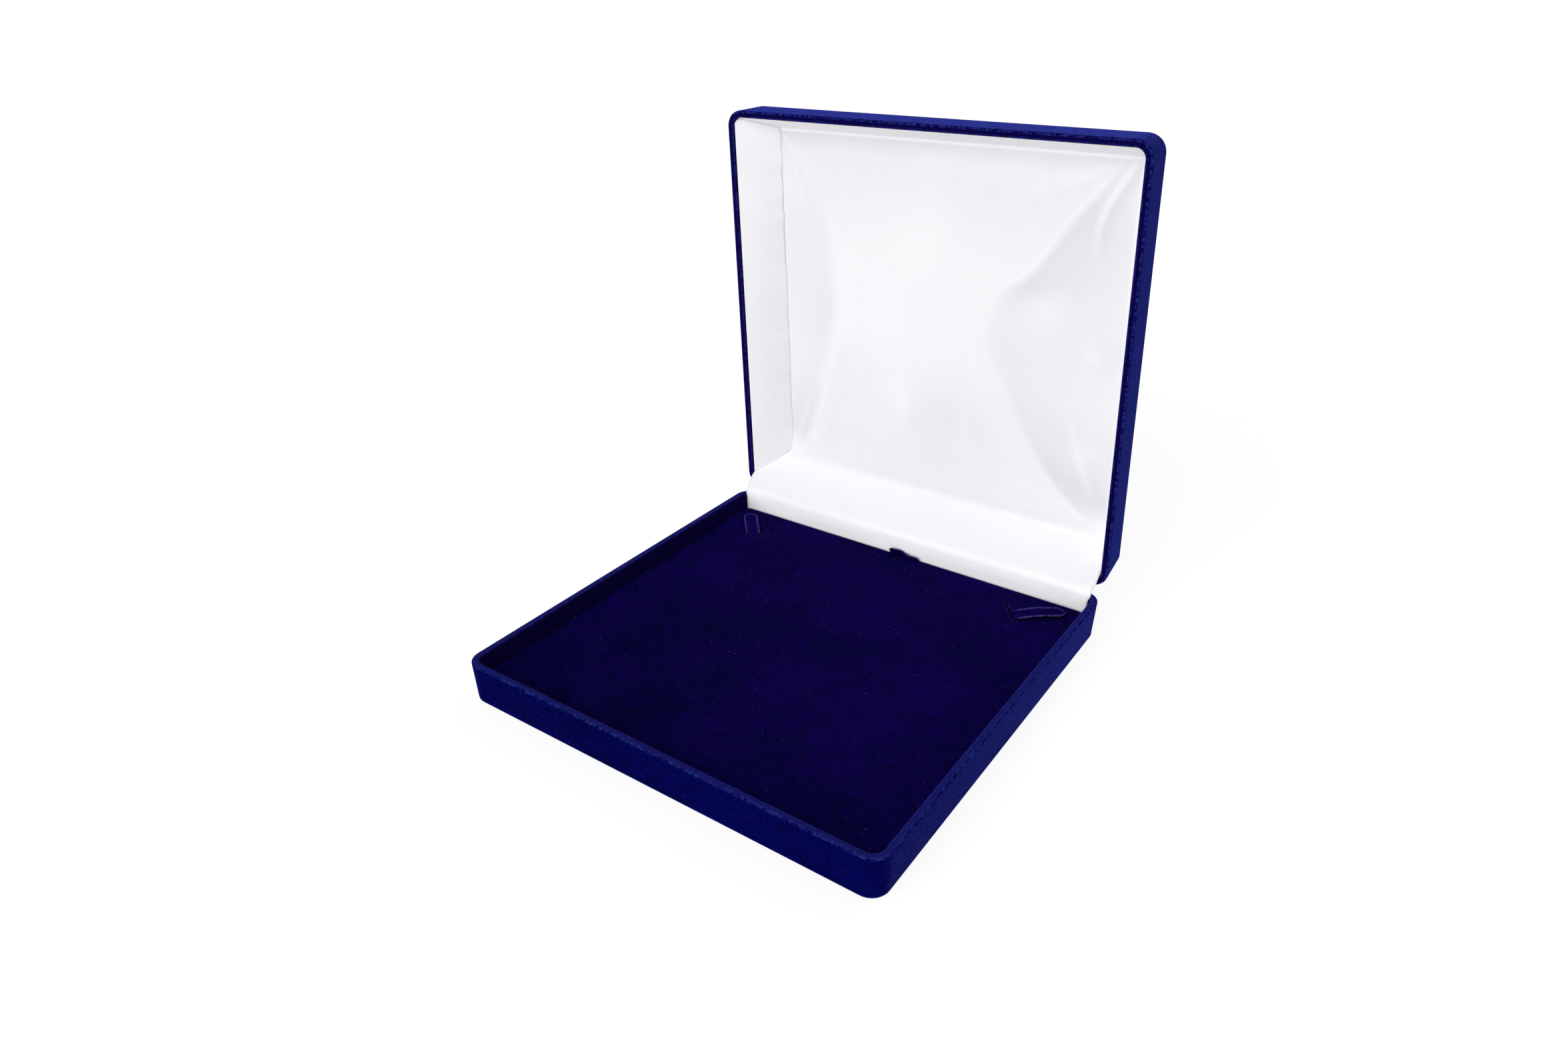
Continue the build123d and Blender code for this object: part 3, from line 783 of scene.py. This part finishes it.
def hinge_flap():
    """The satin flap from behind the pad, over both rims, into the lid, with soft waves where it is free."""
    profile = flap_profile()
    left, right = flap_sides(profile[:, 0], profile[:, 1])
    tangent = np.gradient(profile, axis=0)
    normal = np.stack([-tangent[:, 1], tangent[:, 0]], -1)
    normal /= np.linalg.norm(normal, axis=1, keepdims=True)
    u, row = np.meshgrid(np.linspace(0, 1, FLAP_COLUMNS), np.arange(FLAP_POINTS))
    x = left[row] + (right - left)[row] * u
    y, z = profile[row, 0], profile[row, 1]
    free = smoothstep(11.5, 15.0, z) * smoothstep(39.0, 33.0, z) * held_at_ends(u, 8.0)
    wave = ripples(x, z * 0.6, seed=51, waves=6, length=52.0, height=0.22)
    wave = (wave + ripples(x, z * 0.9, seed=57, waves=5, length=17.0, height=0.06)) * free
    face = np.stack([x, y + normal[row, 0] * wave, z + normal[row, 1] * wave], -1)
    obj = cloth_object("hinge_flap_cloth", face * MM, SATIN_T, satin)
    # Shade painted on the flap, more of it higher up where it runs into the lid.
    paint(obj, "painted_shade", FLAP_SHADE + FLAP_SHADE_TOP * smoothstep(14.5, 22.0, z), behind=1.0)
    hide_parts("hinge_flap", "border_satin_hinge")
    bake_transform(obj)


# The pad's velvet, with a slit at each tab's root and a soft crease across its back left corner, and with
# shade painted in the slits and a shadow painted under the tabs
PAD_X = 90.6
PAD_FRONT = -90.6
PAD_BACK = 89.6
PAD_MID_Y = (PAD_FRONT + PAD_BACK) / 2
PAD_HALF_Y = (PAD_BACK - PAD_FRONT) / 2
PAD_TOP = 10.8
PAD_FOOT = 2.3
PAD_CORNER_R = 4.0
PAD_ROUND = 1.2
PAD_CROWN = 0.18
PAD_STEP = 1.5
PAD_FINE_STEP = 0.4
PAD_EDGE = 2.6
PAD_CREASE = [(-60, 70), (-72, 55), (-80, 45), (-90, 34)]
PAD_CREASE_SINK = 0.16
PAD_CREASE_SWELL = 0.08
SLIT_LEN = 14.0
SLIT_SHIFT = 3.4
SLIT_HALF_W = 0.42
SLIT_DEPTH = 1.3
SLIT_DISH = 0.22
SLIT_WEAR = 0.25
SHADOW_HALF_LEN = 11.0
SHADOW_HALF_W = 3.2
SHADOW_DARK = 0.75


def tab_place(joint):
    """A tab's root in X and Y and the way it points, from the joint that it folds up about."""
    root_x, root_y, _ = joints[joint]["pos_m"]
    axis_x, axis_y, _ = joints[joint]["axis"]
    return root_x / MM, root_y / MM, math.atan2(axis_x, -axis_y)


left_tab = tab_place("left_tab_lift")
right_tab = tab_place("right_tab_lift")


def slit_line(root_x, root_y, turn):
    """The two ends of a slit, square to its tab."""
    towards = 1.0 if math.sin(turn) * math.cos(turn) > 0 else -1.0
    dx, dy = -math.sin(turn), math.cos(turn)
    a, b = towards * SLIT_SHIFT - SLIT_LEN / 2, towards * SLIT_SHIFT + SLIT_LEN / 2
    return [(root_x + dx * a, root_y + dy * a), (root_x + dx * b, root_y + dy * b)]


def tab_shadow(x, y, root_x, root_y, turn):
    """How much shadow is painted on the velvet under a tab."""
    along = (x - root_x) * math.cos(turn) + (y - root_y) * math.sin(turn)
    across = -(x - root_x) * math.sin(turn) + (y - root_y) * math.cos(turn)
    past_len = np.maximum(np.abs(along - SHADOW_HALF_LEN) - SHADOW_HALF_LEN, 0)
    past = np.hypot(past_len, np.maximum(np.abs(across) - SHADOW_HALF_W, 0))
    return SHADOW_DARK * bell(past, 0.8) * smoothstep(0.5, 3.0, along)


def from_corner(x, y):
    """How far out points lie from the middle of the pad's nearest round corner."""
    return np.abs(x) - (PAD_X - PAD_CORNER_R), np.abs(y - PAD_MID_Y) - (PAD_HALF_Y - PAD_CORNER_R)


def inside_pad(x, y):
    """Distance inside the pad's round-cornered outline."""
    qx, qy = from_corner(x, y)
    outside = np.hypot(np.maximum(qx, 0), np.maximum(qy, 0)) + np.minimum(np.maximum(qx, qy), 0)
    return PAD_CORNER_R - outside


def round_cornered(x, y):
    """A square grid with its corners drawn in to the pad's round ones."""
    qx, qy = from_corner(x, y)
    in_corner = (qx > 0) & (qy > 0)
    scale = np.where(in_corner, np.maximum(qx, qy) / np.maximum(np.hypot(qx, qy), 1e-9), 1.0)
    round_x = np.sign(x) * (PAD_X - PAD_CORNER_R + qx * scale)
    round_y = PAD_MID_Y + np.sign(y - PAD_MID_Y) * (PAD_HALF_Y - PAD_CORNER_R + qy * scale)
    return np.where(in_corner, round_x, x), np.where(in_corner, round_y, y)


def pad_lines(low, high, close):
    """Grid lines of the pad, finer in the close ranges and at both ends."""
    ends = [(low, low + PAD_EDGE), (high - PAD_EDGE, high)]
    return grid_lines(low, high, PAD_STEP, PAD_FINE_STEP, close + ends)


def pad_cover():
    """The padded velvet top of the tray, down to its foot."""
    xs = pad_lines(-PAD_X, PAD_X, [(-82, -56), (54, 80)])
    ys = pad_lines(PAD_FRONT, PAD_BACK, [(52, 84)])
    x, y = round_cornered(*np.meshgrid(xs, ys))
    inside = inside_pad(x, y)
    drop = np.clip(PAD_ROUND - inside, 0, PAD_ROUND)
    crown = smoothstep(0, 22, inside)
    z = PAD_TOP - (PAD_ROUND - np.sqrt(np.maximum(PAD_ROUND ** 2 - drop ** 2, 0)))
    z = z + PAD_CROWN * crown + ripples(x, y, seed=71, waves=8, length=60.0, height=0.10) * crown
    painted_shadow, wear_and_highlight = np.zeros(x.shape), np.zeros(x.shape)
    for place in (left_tab, right_tab):
        away, _ = line_distance(x, y, slit_line(*place))
        cut = bell(away, SLIT_HALF_W)
        z = z - SLIT_DEPTH * cut - SLIT_DISH * bell(away, 4.5)
        # Shade painted in the slit, and a shadow painted under the tab.
        painted_shadow = np.maximum.reduce([painted_shadow, cut, tab_shadow(x, y, *place)])
        # A paler line along the slit's lip.
        wear_and_highlight = np.maximum(wear_and_highlight, SLIT_WEAR * bell(away - 0.9, 0.4))
    away, along = line_distance(x, y, smooth_line(PAD_CREASE, 20))
    z = z - PAD_CREASE_SINK * bell(away, 1.6) * (1 - 0.6 * along) + PAD_CREASE_SWELL * bell(away - 3.2, 2.4)
    top = np.stack([x, y, z], -1) * MM
    foot = top.copy()
    foot[..., 2] = PAD_FOOT * MM
    obj = solid_between("pad_cover", top, foot, velvet)
    paint(obj, "painted_shadow", painted_shadow)
    paint(obj, "wear_and_highlight", wear_and_highlight)
    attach(obj, "pad")
    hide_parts("pad_velvet", "pad_foam", "pad_board")


# Chain tabs
TAB_LEN = 22.4
TAB_W = 7.0
TAB_T = 0.7
TAB_ROOT_IN = 0.3
TAB_REST = 0.84
TAB_ROOT_SINK = 0.75
TAB_EDGE_RISE = 0.42
TAB_EDGE_ROUND = 0.16


def chain_tab(name, node, body, place, lift, seed):
    """A velvet tongue that arches a little, with slightly raised side edges painted paler, partly rubbed and
    partly a painted highlight, and a round end.
    """
    root_x, root_y, turn = place
    half_w = TAB_W / 2
    straight = TAB_LEN - half_w
    tip = straight + half_w * np.sin(np.linspace(0.06, 1.0, 16) * math.pi / 2)
    lengthwise = np.concatenate([np.linspace(-TAB_ROOT_IN, straight, 40), tip])
    along, across = np.meshgrid(lengthwise, np.linspace(-1, 1, 25), indexing="ij")
    half = half_w * np.sqrt(1 - np.clip((along - straight) / half_w, 0, 0.9995) ** 2)
    side = across * half
    edge = half * (1 - np.abs(across))
    arch = lift * np.sin(np.pi * np.clip(along / TAB_LEN, 0, 1)) ** 1.2
    raised_edge = TAB_EDGE_RISE * bell(edge, 0.8) - TAB_EDGE_ROUND * bell(edge, 0.25)
    height = TAB_REST + arch + raised_edge + ripples(along, side, seed, waves=4, length=9.0, height=0.05)
    height -= TAB_ROOT_SINK * smoothstep(1.0, -0.5, along)
    x = root_x + along * math.cos(turn) - side * math.sin(turn)
    y = root_y + along * math.sin(turn) + side * math.cos(turn)
    top = np.stack([x, y, PAD_TOP + height], -1) * MM
    obj = cloth_object(name, top, TAB_T, tab_velvet)
    # Paler edges: partly rubbed pile, partly a painted highlight.
    rub_and_highlight = bell(edge, 0.75) * smoothstep(0.3, 2.5, along)
    paint(obj, "wear_and_highlight", rub_and_highlight, behind=0.6)
    paint(obj, "painted_shadow", rub_and_highlight * 0)
    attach(obj, body)
    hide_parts(node)


# The ribbon that lifts the pad
RIBBON_LEFT = -5.0
RIBBON_RIGHT = 10.0
RIBBON_LEN = 10.0
RIBBON_HIDDEN = 7.0
RIBBON_T = 0.45
RIBBON_GRID = (46, 22)
RIBBON_LEAN = 1.3
RIBBON_WAVE = 0.62
RIBBON_FINE_WAVE = 1.9


def lifting_ribbon():
    """The ribbon's end, which stands up behind the pad, leans over it and waves along its top edge."""
    x, up = unit_grid(*RIBBON_GRID)
    x = RIBBON_LEFT + (RIBBON_RIGHT - RIBBON_LEFT) * x
    lean = smoothstep(0.62, 1.0, up)
    waves = 0.50 * lean * np.sin(x * RIBBON_WAVE + 0.6) + 0.08 * lean * np.sin(x * RIBBON_FINE_WAVE)
    y = PAD_BACK - 0.10 - RIBBON_LEAN * lean + waves
    z = PAD_TOP - RIBBON_HIDDEN + RIBBON_LEN * up
    z = z + lean * (0.24 * np.sin(x * RIBBON_WAVE + 2.2) + 0.45 - 0.13 * (x - RIBBON_LEFT))
    z = z - lean * (0.9 * bell(x - RIBBON_LEFT, 0.55) + 0.4 * bell(x - RIBBON_RIGHT, 0.8))
    obj = cloth_object("lifting_ribbon", np.stack([x, y, z], -1) * MM, RIBBON_T, velvet)
    # A painted highlight along the ribbon's top edge, partly rubbed pile.
    rub_and_highlight = smoothstep(0.94, 1.0, up) * 0.5
    paint(obj, "wear_and_highlight", rub_and_highlight, behind=1.0)
    paint(obj, "painted_shadow", rub_and_highlight * 0)
    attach(obj, "pad")
    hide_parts("ribbon_pull")


# The hinges' bowed springs
def hinge_spring(side):
    """A bowed spring, in the shape of its CAD node."""
    mesh = frame["nodes"]["hinge_spring_" + side].data.copy()
    mesh.materials.clear()
    mesh.materials.append(steel)
    obj = placed("bowed_spring_" + side, mesh)
    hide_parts("hinge_spring_" + side)
    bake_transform(obj)


# Floor, sky and camera. The floor's lengths are in metres, and its glow fades towards the viewer.
FLOOR_HALF = 40.0
FLOOR_AHEAD = (0.579, -0.815)
GLOW_FADE = (0.18, 0.75, 0.86, 0.66)
SKY_FADE = {"From Min": 0.10, "From Max": 0.45, "To Min": 1.03, "To Max": 0.34}
EYE = Vector((216.134, -322.562, 270.133)) * MM
RIGHT = Vector((0.80633, 0.59115, -0.01918))
UP = Vector((-0.22744, 0.33985, 0.91256))
BACK = Vector((0.54598, -0.73147, 0.40848))
FOCAL_LENGTH = 25.386
SENSOR_W = 36.0
SHIFT_X = 0.02547
SHIFT_Y = -0.04337


def floor_material(name):
    """A white floor that glows, so that only a faint shadow shows on it."""
    shader = Shader(name)
    tone = shader.noise(3.0, 2.0, 0.5)
    shader.set(Base_Color=shader.mix(tone, FLOOR_DARK, FLOOR_PALE), Roughness=0.8, Specular_IOR_Level=0.0)
    x, y, _ = shader.split(shader.place)
    ahead = shader.weighted((x, FLOOR_AHEAD[0]), (y, FLOOR_AHEAD[1]))
    shader.set(Emission_Color=WHITE, Emission_Strength=shader.steps(ahead, *GLOW_FADE))
    return shader.material


def lay_floor():
    corners = np.array([(-1, -1, 0), (1, -1, 0), (1, 1, 0), (-1, 1, 0)]) * FLOOR_HALF
    floor = mesh_object("floor", corners, [(0, 1, 2, 3)], floor_material("floor"))


def set_sky():
    """A white sky, brightest at the horizon and dimmer overhead."""
    world = bpy.data.worlds.new("studio")
    bpy.context.scene.world = world
    world.use_nodes = True
    nodes, links = world.node_tree.nodes, world.node_tree.links
    background = nodes["Background"]
    background.inputs["Color"].default_value = WHITE
    direction = nodes.new("ShaderNodeTexCoord")
    parts = nodes.new("ShaderNodeSeparateXYZ")
    fade = nodes.new("ShaderNodeMapRange")
    fade.interpolation_type = "SMOOTHSTEP"
    for key, value in SKY_FADE.items():
        fade.inputs[key].default_value = value
    links.new(direction.outputs["Generated"], parts.inputs[0])
    links.new(parts.outputs["Z"], fade.inputs["Value"])
    links.new(fade.outputs["Result"], background.inputs["Strength"])


def sun_light(name, towards, strength, spread):
    """A broad, even light from one side."""
    light = bpy.data.lights.new(name, "SUN")
    light.energy = strength
    light.angle = math.radians(spread)
    placed(name, light).rotation_euler = Vector(towards).to_track_quat("Z", "Y").to_euler()


def set_camera():
    """The camera that was fitted to the photograph's straight edges."""
    data = bpy.data.cameras.new("camera")
    data.lens = FOCAL_LENGTH
    data.sensor_width = SENSOR_W
    data.shift_x = SHIFT_X
    data.shift_y = SHIFT_Y
    data.clip_start = 0.01
    camera = placed("camera", data)
    camera.matrix_world = Matrix.Translation(EYE) @ Matrix((RIGHT, UP, BACK)).transposed().to_4x4()
    bpy.context.scene.camera = camera


# The scene
dress_rigid_pieces()
satin_panel()
left_lining()
hinge_flap()
pad_cover()
chain_tab("chain_tab_left", "tab_left", "left_tab", left_tab, lift=0.25, seed=81)
chain_tab("chain_tab_right", "tab_right", "right_tab", right_tab, lift=0.75, seed=87)
lifting_ribbon()
for spring_side in ("left", "right"):
    hinge_spring(spring_side)

lay_floor()
set_sky()
sun_light("key", towards=(-0.08, -0.84, 0.40), strength=1.98, spread=50)
sun_light("fill", towards=(0.30, 0.90, 0.42), strength=0.70, spread=70)
set_camera()
bpy.context.scene.view_settings.view_transform = "Standard"
